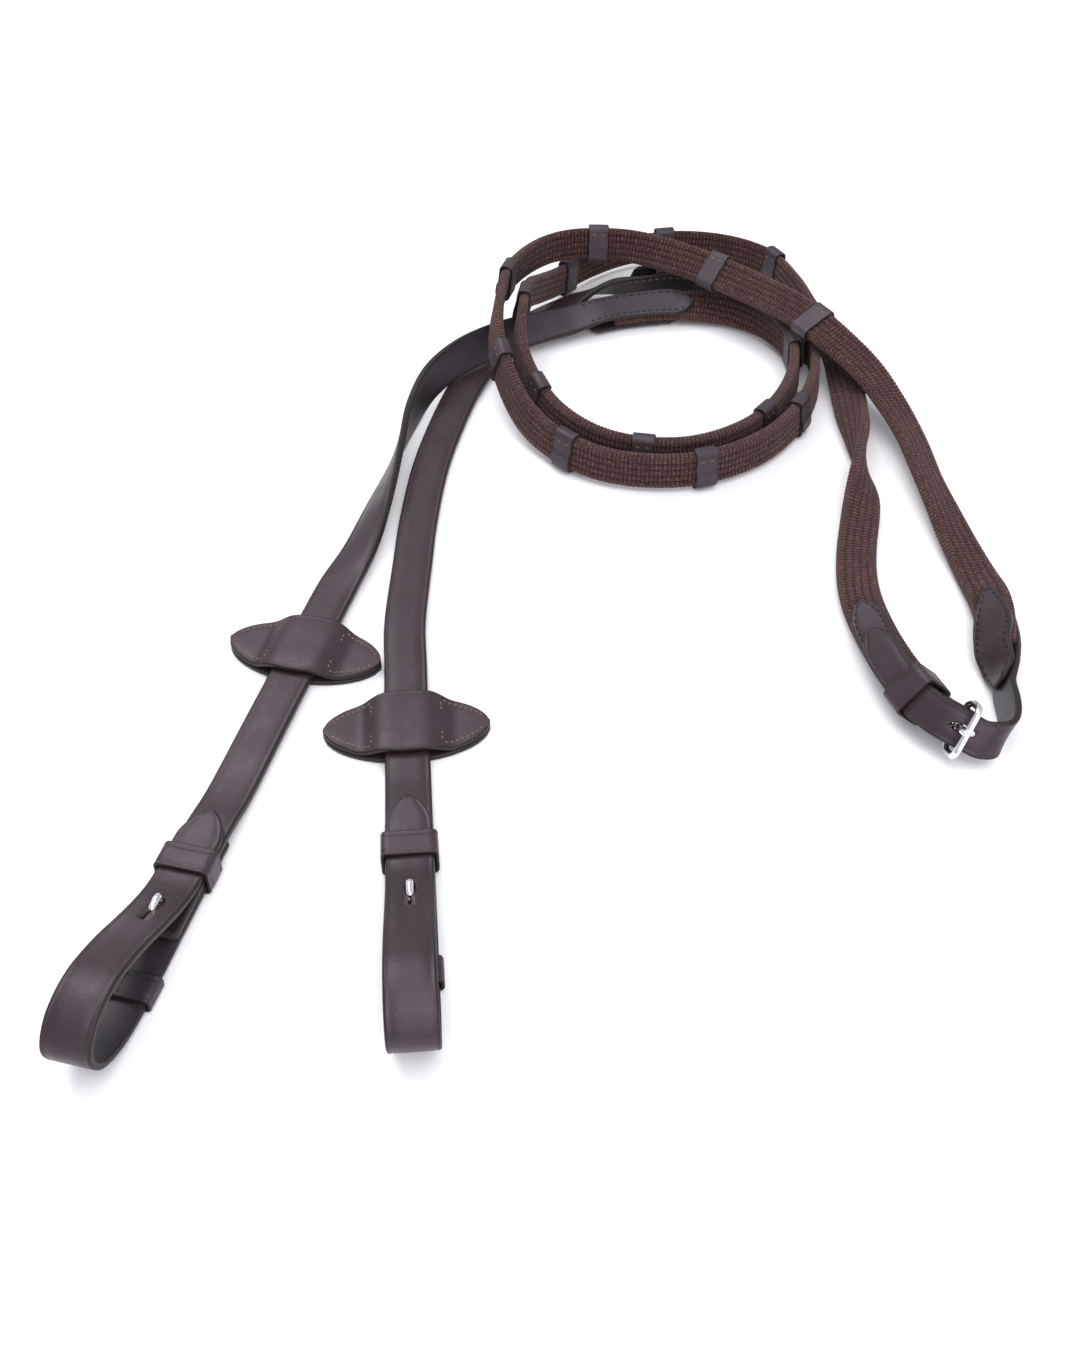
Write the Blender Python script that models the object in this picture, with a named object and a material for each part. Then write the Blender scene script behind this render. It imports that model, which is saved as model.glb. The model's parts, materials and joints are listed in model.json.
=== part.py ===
"""A pair of horse reins in leather and web, buckled together and laid down in a loose coil.

Lengths in this file are in millimetres and become metres when a mesh is written. +Z is up and +Y points
away from the rider's end of the coil. The origin is the middle of the footprint, on the floor.

Every leather or web piece is cut flat, as on a bench, and is then laid along a band: a centre line that
also carries the direction across the piece. A flat point (across, along, off the face) maps to
centre + across * width direction + off * face normal.
"""

import bisect
import math

import bmesh
import bpy
from mathutils import Matrix, Vector

MM = 0.001
GAP = 0.3
STEP = 6.0
UP = Vector((0, 0, 1))
MIDDLE = Vector((20.67, 470.1, 0))

STRAP_WIDTH = 16.0
STRAP_THICK = 3.0
WEB_WIDTH = 16.0
WEB_THICK = 4.0
COVER_THICK = 1.8
COVER_GAP = 0.2
SPLICE_LENGTH = 56.0
SPLICE_TIP_LENGTH = 12.0
SPLICE_RAMP = (-12.0, 10.0)
WEB_INSIDE_SPLICE = 14.0
COVER_SHORT = 3.0

BILLET_THICK = 2.5
BILLET_CENTRE = 2.75
KEEPER_THICK = 1.2
INNER_CHAMFER = 0.25
OUTER_CHAMFER = 0.9
KEEPER_LENGTH = 10.0
HOOK_TO_KEEPER = 18.0
LOWER_KEEPER_BACK = 46.0
HOOK_RADIUS = 1.3
PLATE_RADIUS = 3.6
SLOT_BACK = 21.5
SLOT_HEIGHT = 12.0
SLOT_SIZE = (13.0, 3.8, 16.0)
PLATE_THICK = 0.9
TIP_LENGTH = 14.0

STOP_LENGTH = 10.0
STOP_THICK = 1.2
STOP_GAP = 0.4
HAND_STOPS = 9

WING_SPAN = 60.0
WING_DEPTH = 30.0
WING_THICK = 2.0
WING_TIP = 1.0
LENS_POWER = 0.62
SADDLE_SLOPE = (1.2, 4.5, 7.5)

END_WIDTH = 14.0
END_THICK = 2.2
POINT_THICK = 2.4
BAR_RADIUS = 1.4
FRAME_HALF = 9.6
FRAME_REACH = 11.0
FRAME_RISE = 4.6
FRAME_TILT = 30.0
TONGUE_RADIUS = 1.1
BUCKLE_KEEPER_BACK = 19.0
BUCKLE_KEEPER_LENGTH = 9.0
BUCKLE_CORNER = 3.0
CHAPE_UNDER = 62.0
CHAPE_OVER = 72.0
CHAPE_TIP_LENGTH = 16.0
POINT_COVER_HALF = 8.2
POINT_COVER_BACK = 58.0
POINT_COVER_SHORT = 4.0
POINT_COVER_TAPER = 30.0
POINT_COVER_CLOSING = 9.0
POINT_COVER_DROP = (20.0, 6.0)
POINT_HOLE_AT = (2.4, 0.0, 5.0)
TONGUE_SLOT = (12.4, 4.4, 10.0)
POINT_HOLE = (8.5, 3.4, 9.0)

# Each rein from its hook end to the buckle: x, y, height of the centre line, and roll in degrees.
# Roll 0 lies flat with the grain up, and 90 stands on edge.
RIGHT_PATH = (
    (-40.4, 281, 5.8, 0), (-42.8, 309, 5.8, 0), (-44.3, 327, 5.8, 0), (-45.5, 341, 3.8, 0),
    (-48, 370, 3.8, 0), (-50.3, 400, 3.8, 0), (-52, 422, 3.8, 0), (-51.6, 462, 2.2, 0), (-50.8, 490, 2.2, 0),
    (-47.4, 530, 2.2, 0), (-40.4, 568, 2.2, 0), (-34.4, 592, 2.2, 0), (-26.5, 613, 2.2, 0),
    (-17, 631, 2.2, 0), (-4, 647, 2.3, 0), (10, 659, 3.8, 8), (26, 669, 7.8, 34), (48, 675, 9.3, 66),
    (73, 674, 9.5, 84),
    (101, 662, 9.8, 90), (121, 638, 9.8, 90), (129, 608, 10, 86), (121, 567, 10, 84),
    (97, 532, 10, 86), (62, 515, 9.9, 88), (25, 520, 10, 86), (-3, 545, 12.4, 80), (-18, 580, 23, 76),
    (-20, 612, 28.8, 78), (-13, 650, 29.2, 85), (8, 675, 29, 96), (40, 678, 28.5, 112), (70, 664, 28, 132),
    (98, 640, 28, 148), (122, 614, 27.6, 157), (136, 594, 25, 165), (148, 578, 20, 178),
    (157, 560, 14, 192), (163, 538, 10, 204), (165.5, 515, 8.2, 208), (168, 494, 7.2, 202),
    (171, 472, 5.4, 190), (174, 453, 4.4, 178), (175, 433, 7.4, 160), (173, 412, 8.8, 138),
    (169.5, 396, 9.4, 118), (165, 381, 9.4, 104),
)
LEFT_PATH = (
    (-121.4, 275.5, 5.8, 0), (-114.8, 302.7, 5.8, 0), (-110.5, 320, 5.8, 0), (-107, 334.5, 3.8, 0),
    (-98, 372, 3.8, 0), (-88.8, 410, 3.8, 0), (-80.5, 444, 3.8, 0), (-73, 470, 4.6, 20), (-67, 500, 7, 44),
    (-62, 530, 8.4, 70), (-58, 557, 8.8, 90), (-50, 582, 11.3, 102), (-37, 601, 12.5, 112),
    (-21, 616, 12, 128), (-6, 627, 10.6, 145), (9, 636.5, 9, 158), (24, 644.5, 7.6, 166),
    (44, 652, 7.2, 166), (70, 655, 7.8, 158), (93, 649, 9.2, 125), (110, 634, 9.8, 100),
    (119.5, 608, 10, 86), (112, 572, 10, 84), (92, 542, 10, 86), (62, 527, 9.9, 88), (30, 532, 10, 86),
    (6, 553, 12.4, 82), (-8, 583, 20.5, 80), (-9, 612, 25.8, 80),
    (-6, 634, 26, 84), (0, 653, 18.5, 86), (9, 672, 11.8, 88),
    (24, 692, 9.8, 90), (45, 707, 9.8, 92), (72, 714, 9.8, 93), (98, 709, 9.8, 94), (117, 695, 9.8, 94),
    (127, 669, 9.9, 98), (132, 641, 10.2, 108), (139, 615, 9.9, 122), (141, 592, 8.2, 143),
    (141, 566, 7.4, 150), (140, 540, 9.2, 112), (138.5, 520, 9.2, 72), (136.5, 503, 8, 34),
    (133, 486, 5.2, 8), (129, 468, 4.4, -2), (126, 449, 5.4, -10), (125, 431, 7.6, -22), (127, 412, 8.8, -33),
    (130.5, 394, 10.4, -41), (136, 378, 10.9, -47), (140.5, 369, 10.9, -49), (147, 362.5, 10.9, -50),
)

# Distances of the fittings along each rein from its hook end.
RIGHT_KEEPER = 28.1
LEFT_KEEPER = 28.0
RIGHT_WING_STOP = 88.0
LEFT_WING_STOP = 137.5
RIGHT_SPLICE_TIP = 490.0
LEFT_SPLICE_TIP = 468.0
RIGHT_FIRST_STOP = 547.0
LEFT_FIRST_STOP = 536.0
STOP_SPACING = 62.5
RIGHT_WEB_SHORT = 24.0
LEFT_WEB_SHORT = 25.0

MATERIALS = {
    "leather": ((0.045, 0.028, 0.029), 0.45, 0.0),
    "flesh": ((0.06, 0.055, 0.06), 0.8, 0.0),
    "web": ((0.05, 0.028, 0.022), 0.9, 0.0),
    "chrome": ((0.8, 0.8, 0.8), 0.15, 1.0),
}


class Band:
    """A centre line with a width direction and a face normal at each sample, straight in between."""

    def __init__(self, points, across):
        self.points = points
        self.across = []
        self.normal = []
        self.distance = [0.0]
        for before, after in zip(points, points[1:]):
            self.distance.append(self.distance[-1] + (after - before).length)
        last = len(points) - 1
        for i, wide in enumerate(across):
            ahead = (points[min(i + 1, last)] - points[max(i - 1, 0)]).normalized()
            wide = (wide - ahead * wide.dot(ahead)).normalized()
            self.across.append(wide)
            self.normal.append(wide.cross(ahead))
        self.length = self.distance[-1]

    def frame(self, along):
        """Centre, width direction and face normal at a distance along the band."""
        i = bisect.bisect_right(self.distance, along) - 1
        i = max(0, min(i, len(self.points) - 2))
        part = (along - self.distance[i]) / (self.distance[i + 1] - self.distance[i])
        return (
            self.points[i].lerp(self.points[i + 1], part),
            self.across[i].lerp(self.across[i + 1], part),
            self.normal[i].lerp(self.normal[i + 1], part),
        )

    def place(self, across, along, off):
        centre, wide, normal = self.frame(along)
        return centre + wide * across + normal * off

    def rows(self, start, end):
        """Where a piece from start to end bends: at its ends and at each sample between them."""
        return [start] + [d for d in self.distance if start + 1 < d < end - 1] + [end]


def spline(stations, step=STEP):
    """Centripetal Catmull-Rom through rows of numbers whose first three are a place."""
    rows = [Vector(row) for row in stations]
    rows = [rows[0] * 2 - rows[1]] + rows + [rows[-1] * 2 - rows[-2]]

    def span(a, b):
        return max(1e-6, (Vector(b[:3]) - Vector(a[:3])).length) ** 0.5

    samples = []
    for a, b, c, d in zip(rows, rows[1:], rows[2:], rows[3:]):
        t1 = span(a, b)
        t2 = t1 + span(b, c)
        t3 = t2 + span(c, d)
        count = max(1, round((Vector(c[:3]) - Vector(b[:3])).length / step))
        for k in range(count):
            t = t1 + (t2 - t1) * k / count
            ab = a.lerp(b, t / t1)
            bc = b.lerp(c, (t - t1) / (t2 - t1))
            cd = c.lerp(d, (t - t2) / (t3 - t2))
            abc = ab.lerp(bc, t / t2)
            bcd = bc.lerp(cd, (t - t1) / (t3 - t1))
            samples.append(abc.lerp(bcd, (t - t1) / (t2 - t1)))
    return samples + [rows[-2]]


def rolled_band(stations):
    """The band of one rein. Its width direction is level at roll 0 and turns about the centre line."""
    samples = spline(stations)
    points = [Vector(s[:3]) - MIDDLE for s in samples]
    across = []
    for i, sample in enumerate(samples):
        ahead = points[min(i + 1, len(points) - 1)] - points[max(i - 1, 0)]
        right = ahead.cross(UP).normalized()
        up = right.cross(ahead).normalized()
        roll = math.radians(sample[3])
        across.append(right * math.cos(roll) + up * math.sin(roll))
    return Band(points, across)


def side_band(profile, origin, along, off, across, step=STEP):
    """A band bent only in one plane: profile gives (along, off) pairs, and the width stays square to it."""
    samples = spline([(a, z, 0) for a, z in profile], step)
    points = [origin + along * s[0] + off * s[1] for s in samples]
    return Band(points, [across] * len(points))


def new_material(name):
    colour, roughness, metallic = MATERIALS[name]
    material = bpy.data.materials.new(name)
    material.use_nodes = True
    shader = material.node_tree.nodes["Principled BSDF"]
    shader.inputs["Base Color"].default_value = (*colour, 1)
    shader.inputs["Roughness"].default_value = roughness
    shader.inputs["Metallic"].default_value = metallic
    material.diffuse_color = (*colour, 1)
    return material


def add_object(name, data, kind, collection, origin=None):
    """A new object with its own material. origin, in millimetres, moves its origin without moving it."""
    data.materials.append(new_material(kind))
    data.materials[0].name = name + "_" + kind
    obj = bpy.data.objects.new(name, data)
    collection.objects.link(obj)
    if origin is not None:
        data.transform(Matrix.Translation(origin * -MM))
        obj.location = origin * MM
    return obj


def value(amount, along):
    return amount(along) if callable(amount) else amount


def finish_mesh(name, work, kind, origin=None):
    bmesh.ops.recalc_face_normals(work, faces=work.faces[:])
    if work.calc_volume(signed=True) < 0:
        bmesh.ops.reverse_faces(work, faces=work.faces[:])
    bmesh.ops.scale(work, vec=(MM, MM, MM), verts=work.verts[:])
    mesh = bpy.data.meshes.new(name)
    work.to_mesh(mesh)
    work.free()
    return add_object(name, mesh, kind, PARTS, origin)


def strip(name, kind, band, start, end, half_width, low, high, tips=(), origin=None, columns=1):
    """A flat piece laid on a band, from start to end, between the heights low and high off its face.

    half_width, low and high are numbers or functions of the distance. tips are more rows, for outlines.
    """
    rows = sorted(set(band.rows(start, end)) | set(tips))
    work = bmesh.new()
    bmesh.ops.create_grid(work, x_segments=columns, y_segments=len(rows) - 1, size=1)
    for vert in work.verts:
        along = rows[round((vert.co.y + 1) / 2 * (len(rows) - 1))]
        vert.co = (vert.co.x * value(half_width, along), along, value(high, along))
    raised = bmesh.ops.extrude_face_region(work, geom=work.faces[:])
    for vert in raised["geom"]:
        if isinstance(vert, bmesh.types.BMVert):
            vert.co.z = value(low, vert.co.y)
    for vert in work.verts:
        vert.co = band.place(*vert.co)
    return finish_mesh(name, work, kind, origin)


def sleeve(name, kind, band, start, end, half_width, low, high, thick, origin=None):
    """A closed loop of leather round a band, open at both ends, with cut-off corners."""
    work = bmesh.new()
    tilt = Matrix.Rotation(math.radians(22.5), 4, "Z")
    bmesh.ops.create_circle(work, cap_ends=False, segments=8, radius=1, matrix=tilt)

    def ring(vert, wide, bottom, top, chamfer):
        across, up = vert.co.x, vert.co.y
        on_side = abs(across) > abs(up)
        x = wide - (0 if on_side else chamfer)
        z = (top - bottom) / 2 - (chamfer if on_side else 0)
        return (math.copysign(x, across), start, (top + bottom) / 2 + math.copysign(z, up))

    outer = bmesh.ops.extrude_edge_only(work, edges=work.edges[:])["geom"]
    outer = [item for item in outer if isinstance(item, bmesh.types.BMVert)]
    for vert in work.verts:
        grow = thick if vert in outer else 0
        chamfer = OUTER_CHAMFER if vert in outer else INNER_CHAMFER
        vert.co = ring(vert, half_width + grow, low - grow, high + grow, chamfer)
    region = work.faces[:]
    inside = []
    for along in band.rows(start, end)[1:]:
        moved = bmesh.ops.extrude_face_region(work, geom=region)["geom"]
        bmesh.ops.delete(work, geom=inside, context="FACES_ONLY")
        region = [item for item in moved if isinstance(item, bmesh.types.BMFace)]
        inside = region
        for vert in moved:
            if isinstance(vert, bmesh.types.BMVert):
                vert.co.y = along
    for vert in work.verts:
        vert.co = band.place(*vert.co)
    return finish_mesh(name, work, kind, origin)


def rod(name, kind, path, radius, cyclic=False, origin=None):
    """A round wire along a poly line."""
    curve = bpy.data.curves.new(name, "CURVE")
    curve.dimensions = "3D"
    curve.bevel_depth = radius * MM
    curve.bevel_resolution = 2
    curve.use_fill_caps = True
    line = curve.splines.new("POLY")
    line.points.add(len(path) - 1)
    line.use_cyclic_u = cyclic
    for point, place in zip(line.points, path):
        point.co = (*(place * MM), 1)
    return add_object(name, curve, kind, PARTS, origin)


def to_mesh(obj):
    """A curve object made a welded mesh object of the same name and place."""
    graph = bpy.context.evaluated_depsgraph_get()
    bpy.context.view_layer.update()
    mesh = bpy.data.meshes.new_from_object(obj.evaluated_get(graph))
    work = bmesh.new()
    work.from_mesh(mesh)
    bmesh.ops.remove_doubles(work, verts=work.verts[:], dist=0.01 * MM)
    for face in work.faces:
        face.smooth = len(face.verts) == 4
    bmesh.ops.recalc_face_normals(work, faces=work.faces[:])
    work.to_mesh(mesh)
    work.free()
    name = obj.name
    made = bpy.data.objects.new(name + "_mesh", mesh)
    PARTS.objects.link(made)
    made.matrix_world = obj.matrix_world.copy()
    bpy.data.objects.remove(obj)
    made.name = name
    return made


def block_cutter(name, centre, along, across, length, width, depth):
    """A box that cuts: length runs along, width across, depth off the face."""
    work = bmesh.new()
    bmesh.ops.create_cube(work, size=1)
    off = across.cross(along).normalized()
    along = off.cross(across).normalized()
    across = across.normalized()
    for vert in work.verts:
        x, y, z = vert.co
        vert.co = (centre + across * (x * width) + along * (y * length) + off * (z * depth)) * MM
    mesh = bpy.data.meshes.new(name)
    work.to_mesh(mesh)
    work.free()
    cutter = bpy.data.objects.new(name, mesh)
    cutter.hide_render = True
    cutter.display_type = "WIRE"
    CUTTERS.objects.link(cutter)
    return cutter


def boolean(obj, cutter, operation="DIFFERENCE"):
    modifier = obj.modifiers.new(cutter.name, "BOOLEAN")
    modifier.operation = operation
    modifier.object = cutter
    modifier.solver = "EXACT"


def pointed(end, length, half, ends_at=1.0):
    """The half width of a strip whose last part narrows to a rounded point."""

    def width(along):
        part = max(0.0, min(1.0, (along - (end - length)) / length))
        return ends_at + (half - ends_at) * (1 - part**2.2)

    return width


def tip_rows(end, length):
    return [end - length * part for part in (0.75, 0.5, 0.3, 0.15)]


def ramp(start, end, first, last):
    """A smooth change from first to last between two distances."""

    def amount(along):
        part = max(0.0, min(1.0, (along - start) / (end - start)))
        return first + (last - first) * part * part * (3 - 2 * part)

    return amount


def build_web(side, band, splice_tip, short_of_bar):
    """The web starts inside the splice and ends where the buckle's leather takes over."""
    start = splice_tip - SPLICE_LENGTH + WEB_INSIDE_SPLICE
    strip(
        f"{side}_web", "web", band, start, band.length - short_of_bar,
        WEB_WIDTH / 2, -WEB_THICK / 2, WEB_THICK / 2, columns=2,
    )


def build_splice(side, band, splice_tip):
    """The front strap runs on over one face of the web, and a cover lies on the other face."""
    half = STRAP_WIDTH / 2
    begin = splice_tip - SPLICE_LENGTH
    sink, sunk = (begin + offset for offset in SPLICE_RAMP)
    inner = WEB_THICK / 2 + GAP
    low = ramp(sink, sunk, -STRAP_THICK / 2, -inner - COVER_THICK)
    high = ramp(sink, sunk, STRAP_THICK / 2, -inner)
    strip(
        f"{side}_front_strap", "leather", band, 0, splice_tip,
        pointed(splice_tip, SPLICE_TIP_LENGTH, half), low, high, tip_rows(splice_tip, SPLICE_TIP_LENGTH),
    )
    end = splice_tip - COVER_SHORT
    strip(
        f"{side}_splice_cover", "leather", band, begin, end,
        pointed(end, SPLICE_TIP_LENGTH, half), inner, inner + COVER_THICK, tip_rows(end, SPLICE_TIP_LENGTH),
    )


def build_hand_stops(side, band, first):
    for i in range(HAND_STOPS):
        middle = first + STOP_SPACING * i
        sleeve(
            f"{side}_hand_stop_{i + 1}", "leather", band,
            middle - STOP_LENGTH / 2, middle + STOP_LENGTH / 2,
            WEB_WIDTH / 2 + STOP_GAP, -WEB_THICK / 2 - STOP_GAP, WEB_THICK / 2 + STOP_GAP, STOP_THICK,
        )


def build_wing_stop(side, band, middle):
    """The stop for a running martingale: a flat leather lens under the strap and a raised one over it."""
    centre, wide, _ = band.frame(middle)
    wide.z = 0
    wide.normalize()
    along = UP.cross(wide)
    floor = centre - UP * centre.z
    half = WING_SPAN / 2
    over = centre.z + STRAP_THICK / 2 + GAP + WING_THICK / 2
    wing = WING_THICK * 1.5 + GAP
    saddle = STRAP_WIDTH / 2

    def lens(middle_at):
        """Half the depth at each distance, for a piece whose middle is at that distance."""

        def half_depth(s):
            part = min(1.0, abs((s - middle_at) / middle_at))
            return WING_TIP + (WING_DEPTH / 2 - WING_TIP) * (1 - part**2) ** LENS_POWER

        return half_depth

    level = WING_THICK / 2
    def lens_rows(length):
        near = [0.4, 1.2, 2.4, 4]
        return near + [length - inset for inset in near]

    flat = side_band([(-half, level), (0, level), (half, level)], floor, wide, UP, along)
    strip(
        f"{side}_wing_stop_under", "leather", flat, 0, flat.length, lens(flat.length / 2),
        -WING_THICK / 2, WING_THICK / 2, lens_rows(flat.length), centre,
    )
    crest, slope, foot = (saddle + offset for offset in SADDLE_SLOPE)
    one_side = [(half, wing), (22, wing), (foot, wing), (slope, (wing + over) / 2), (crest, over)]
    profile = [(-x, z) for x, z in one_side] + [(0, over + GAP)] + one_side[::-1]
    raised = side_band(profile, floor, wide, UP, along, 4)
    strip(
        f"{side}_wing_stop_over", "leather", raised, 0, raised.length, lens(raised.length / 2),
        -WING_THICK / 2, WING_THICK / 2, lens_rows(raised.length), centre,
    )


def build_hook_end(side, band, keeper):
    """The billet passes under the strap, round the bit ring's loop and back over the hook stud."""
    centre, wide, _ = band.frame(keeper)
    wide.z = 0
    wide.normalize()
    along = UP.cross(wide)
    origin = centre - UP * centre.z
    strap_top = centre.z + STRAP_THICK / 2
    over = strap_top + GAP + BILLET_THICK / 2
    profile = [
        (16, BILLET_CENTRE), (0, BILLET_CENTRE), (-20, BILLET_CENTRE), (-52, BILLET_CENTRE), (-66, 4.8),
        (-76.5, 10.5), (-79.5, 18.5), (-74, 25.5), (-61.5, 27.8), (-46, 23.5), (-29.5, 15.8), (-18, 11),
        (-9, over), (0, over), (12, over), (22, over),
    ]
    billet = side_band(profile, origin, along, UP, wide)
    end = billet.length
    strip(
        f"{side}_billet", "leather", billet, 0, end, pointed(end, TIP_LENGTH, STRAP_WIDTH / 2),
        -BILLET_THICK / 2, BILLET_THICK / 2, tip_rows(end, TIP_LENGTH),
    )
    slot_at = origin - along * SLOT_BACK + UP * SLOT_HEIGHT
    slot = block_cutter(f"{side}_slot", slot_at, along, wide, *SLOT_SIZE)
    boolean(bpy.data.objects[f"{side}_billet"], slot)
    base = 40.0
    line = side_band([(-base, 0), (base, 0)], centre, along, UP, wide)
    low = BILLET_CENTRE - BILLET_THICK / 2 - centre.z - GAP
    high = over + BILLET_THICK / 2 - centre.z + GAP
    sleeve(
        f"{side}_billet_keeper", "leather", line, base - KEEPER_LENGTH / 2, base + KEEPER_LENGTH / 2,
        STRAP_WIDTH / 2 + GAP, low, high, KEEPER_THICK, centre,
    )
    lower = origin - along * LOWER_KEEPER_BACK + UP * BILLET_CENTRE
    line = side_band([(-base, 0), (base, 0)], lower, along, UP, wide)
    sleeve(
        f"{side}_lower_keeper", "leather", line, base - KEEPER_LENGTH / 2, base + KEEPER_LENGTH / 2,
        STRAP_WIDTH / 2 + GAP, -BILLET_THICK / 2 - GAP, BILLET_THICK / 2 + GAP, KEEPER_THICK, lower,
    )
    build_hook_stud(side, origin - along * HOOK_TO_KEEPER, along, wide, strap_top)


def build_hook_stud(side, foot, along, wide, strap_top):
    """A wire hook that stands on a small plate on the strap and bends back towards the loop."""
    base = strap_top + GAP
    path = [
        (0, base + 0.4), (0, base + 4.4), (-0.5, base + 6.2), (-1.9, base + 7.3), (-4.2, base + 7.3),
        (-6, base + 6.5),
    ]
    wire = rod(f"{side}_hook_wire", "chrome", [foot + along * a + UP * z for a, z in path], HOOK_RADIUS)
    wire = to_mesh(wire)
    wire.hide_render = True
    wire.display_type = "WIRE"
    PARTS.objects.unlink(wire)
    CUTTERS.objects.link(wire)
    plate = bmesh.new()
    bmesh.ops.create_cone(
        plate, cap_ends=True, segments=20, depth=PLATE_THICK,
        radius1=PLATE_RADIUS, radius2=PLATE_RADIUS - 0.2,
    )
    for face in plate.faces:
        face.smooth = len(face.verts) == 4
    for vert in plate.verts:
        x, y, z = vert.co
        vert.co = foot + wide * x + along * y + UP * (base + PLATE_THICK / 2 + z)
    stud = finish_mesh(f"{side}_hook_stud", plate, "chrome")
    boolean(stud, wire, "UNION")


def build_left_chape(band):
    """One leather piece: a leaf under the web, a fold round the buckle's bar, and a pointed leaf over."""
    bar = band.length
    leaf = WEB_THICK / 2 + GAP + END_THICK / 2
    fold = BAR_RADIUS + GAP + END_THICK / 2
    points = []
    across = []

    def add(along, off):
        centre, wide, normal = band.frame(along)
        points.append(centre + normal * off)
        across.append(wide)

    close = ramp(bar - 16, bar - 4, leaf, fold)
    for along in band.rows(bar - CHAPE_UNDER, bar - 1):
        add(along, -close(along))
    centre, wide, normal = band.frame(bar)
    ahead = normal.cross(wide).normalized()
    for degrees in range(-75, 90, 25):
        turn = math.radians(degrees)
        points.append(centre + ahead * (fold * math.cos(turn)) + normal * (fold * math.sin(turn)))
        across.append(wide)
    for along in reversed(band.rows(bar - CHAPE_OVER, bar - 1)):
        add(along, close(along))
    chape = Band(points, across)
    strip(
        "left_chape", "leather", chape, 0, chape.length,
        pointed(chape.length, CHAPE_TIP_LENGTH, END_WIDTH / 2),
        -END_THICK / 2, END_THICK / 2, tip_rows(chape.length, CHAPE_TIP_LENGTH),
    )
    slot = block_cutter("tongue_slot", centre + ahead * 1.2, ahead, wide, *TONGUE_SLOT)
    boolean(bpy.data.objects["left_chape"], slot)


def point_band(right, left):
    """The band of the right rein's point strap, from its leg, round the turn and back over the chape."""
    bar = left.length
    centre, wide, normal = left.frame(bar)
    ahead = normal.cross(wide).normalized()
    on_leaf = WEB_THICK / 2 + GAP + END_THICK + GAP + POINT_THICK / 2
    on_leg = WEB_THICK / 2 + GAP + COVER_GAP + POINT_THICK / 2
    stations = []

    def station(place, direction):
        stations.append((*place, *(direction * 10)))

    for back in (54, 40, 26, 13, 2):
        place, direction, face = right.frame(right.length - back)
        station(place + face * on_leg, direction)
    last = right.across[-1]
    turned = wide * -1
    turn = (
        (10, -12, -15, 0.3), (14.6, -6.5, -8.2, 0.6), (14.4, -2, -2.6, 0.85), (11, 0, 0.6, 1.0),
        (5, 0, 3.6, 1.0),
    )
    for forward, aside, off, swing in turn:
        station(centre + ahead * forward + wide * aside + normal * off, last.lerp(turned, swing))
    for back, off in ((2, on_leaf), (12, on_leaf), (24, on_leaf), (38, on_leaf), (52, on_leaf)):
        place, direction, face = left.frame(bar - back)
        station(place + face * off, direction * -1)
    samples = spline(stations, 4.5)
    return Band([Vector(s[:3]) for s in samples], [Vector(s[3:6]).normalized() for s in samples])


def build_right_point(right, left):
    band = point_band(right, left)
    end = band.length
    strip(
        "right_point_strap", "leather", band, 0, end, pointed(end, TIP_LENGTH, END_WIDTH / 2),
        -POINT_THICK / 2, POINT_THICK / 2, tip_rows(end, TIP_LENGTH),
    )
    start = right.length - POINT_COVER_BACK
    end = right.length - POINT_COVER_SHORT
    closed = WEB_THICK / 2 + GAP + COVER_GAP
    landed = closed - 2 * GAP
    drop, dropped = (end - back for back in POINT_COVER_DROP)
    high = ramp(drop, dropped, -closed, landed)
    low = ramp(drop, dropped, -closed - COVER_THICK, landed - COVER_THICK)

    def tapered(along):
        opening = min(1.0, (along - start + 1) / POINT_COVER_TAPER)
        closing = min(1.0, (end - along + 0.4) / POINT_COVER_CLOSING)
        return 1 + (POINT_COVER_HALF - 1) * math.sin(math.pi * opening / 2) * closing**0.5

    rows = [start + 3, start + 7, start + 12, start + 20, drop, end - 9, end - 5, end - 2.4, end - 0.8]
    strip("right_point_cover", "leather", right, start, end, tapered, low, high, rows)


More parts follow.
